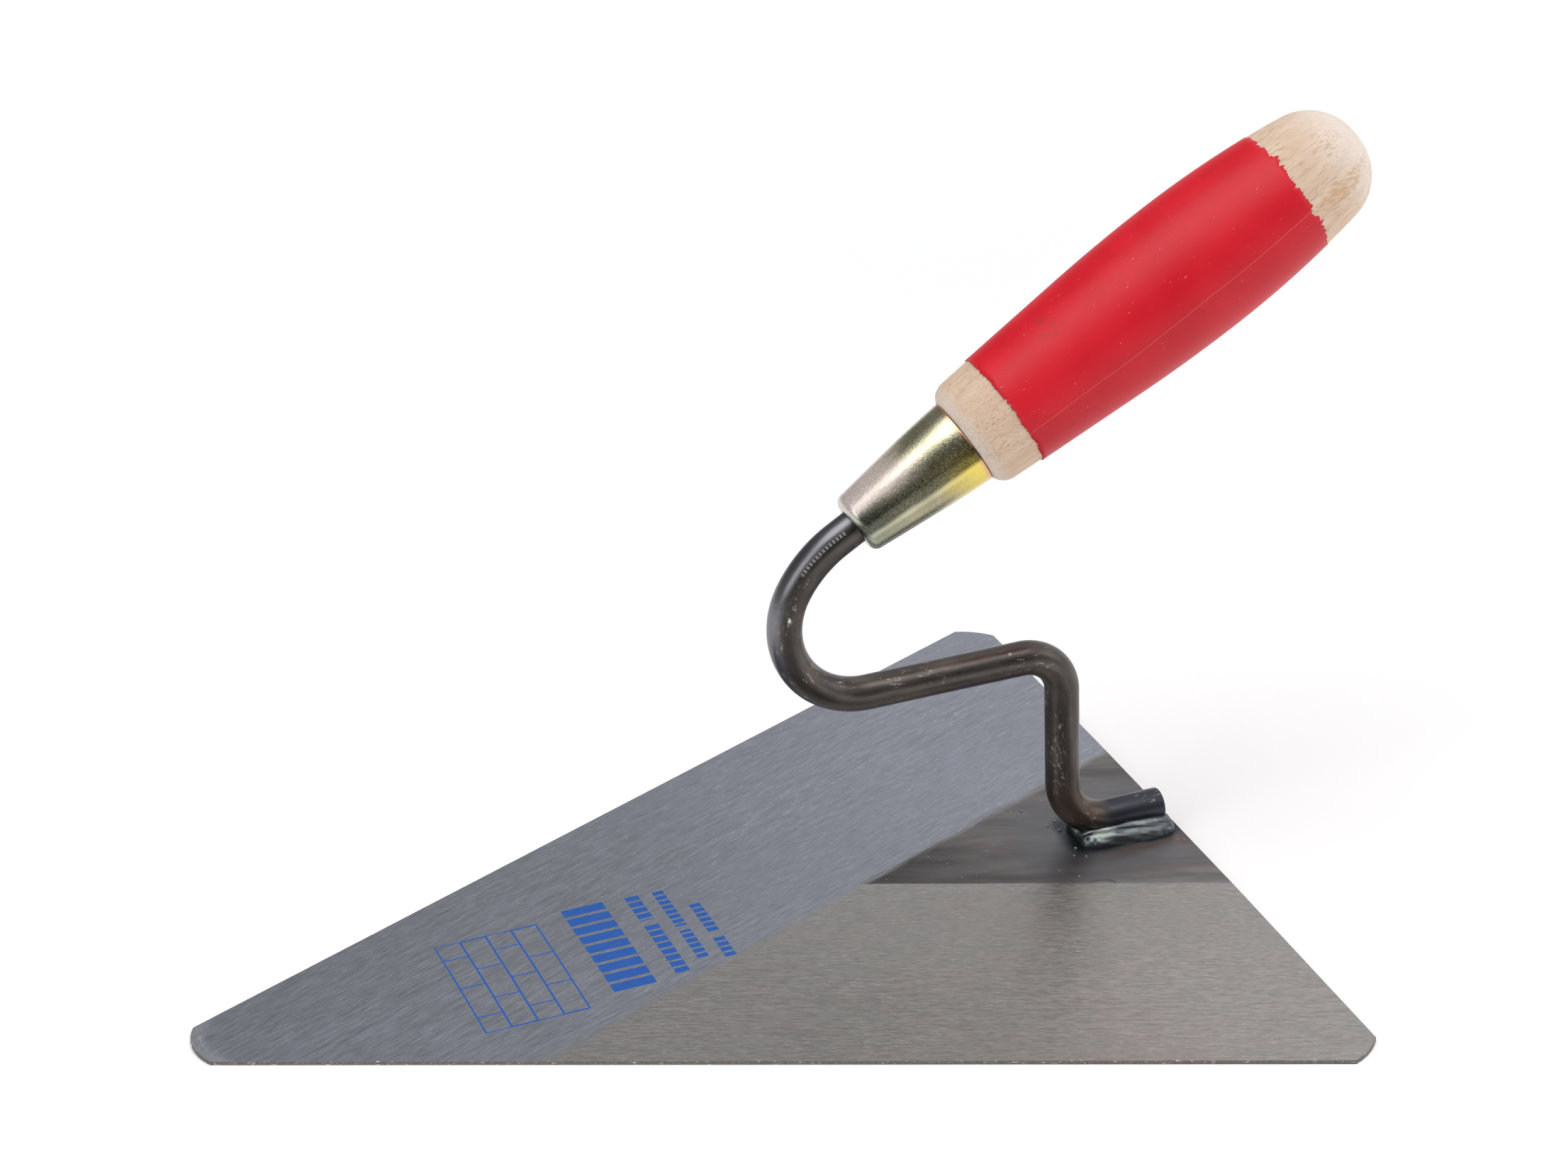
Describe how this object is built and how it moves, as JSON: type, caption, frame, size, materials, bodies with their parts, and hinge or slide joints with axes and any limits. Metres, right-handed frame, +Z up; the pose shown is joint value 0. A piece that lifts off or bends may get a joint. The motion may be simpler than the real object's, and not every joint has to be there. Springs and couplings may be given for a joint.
{
  "type": "brick trowel",
  "caption": "Brick trowel: flat taper-ground triangular blade, bent round-bar neck welded to its heel, and a turned wooden handle in a metal ferrule.",
  "frame": {"origin": "on the blade's flat underside, on its centre line, straight below the neck's upright", "axes": "+X points to the blade's nose, +Z is up, out of the blade's top face on the handle's side; the trowel is the same on both sides of the plane y = 0"},
  "size_m": [0.336, 0.2584, 0.204],
  "materials": {
    "blade_steel": "linished in two bands that meet at the middle, mill scale left at the heel",
    "bar_steel": "dark satin mill scale",
    "weld_metal": "as welded, rippled, with glassy slag spots",
    "ferrule_zinc": "zinc plated with yellow passivation, semi-bright",
    "beech": "bare, turned and sanded",
    "red_lacquer": "satin gloss red lacquer on the wood"
  },
  "bodies": {
    "root": {"blade": "blade_steel", "neck": "bar_steel", "weld_left": "weld_metal", "weld_right": "weld_metal", "ferrule": "ferrule_zinc", "handle": "beech", "lacquer_band": "red_lacquer"}
  },
  "joints": []
}
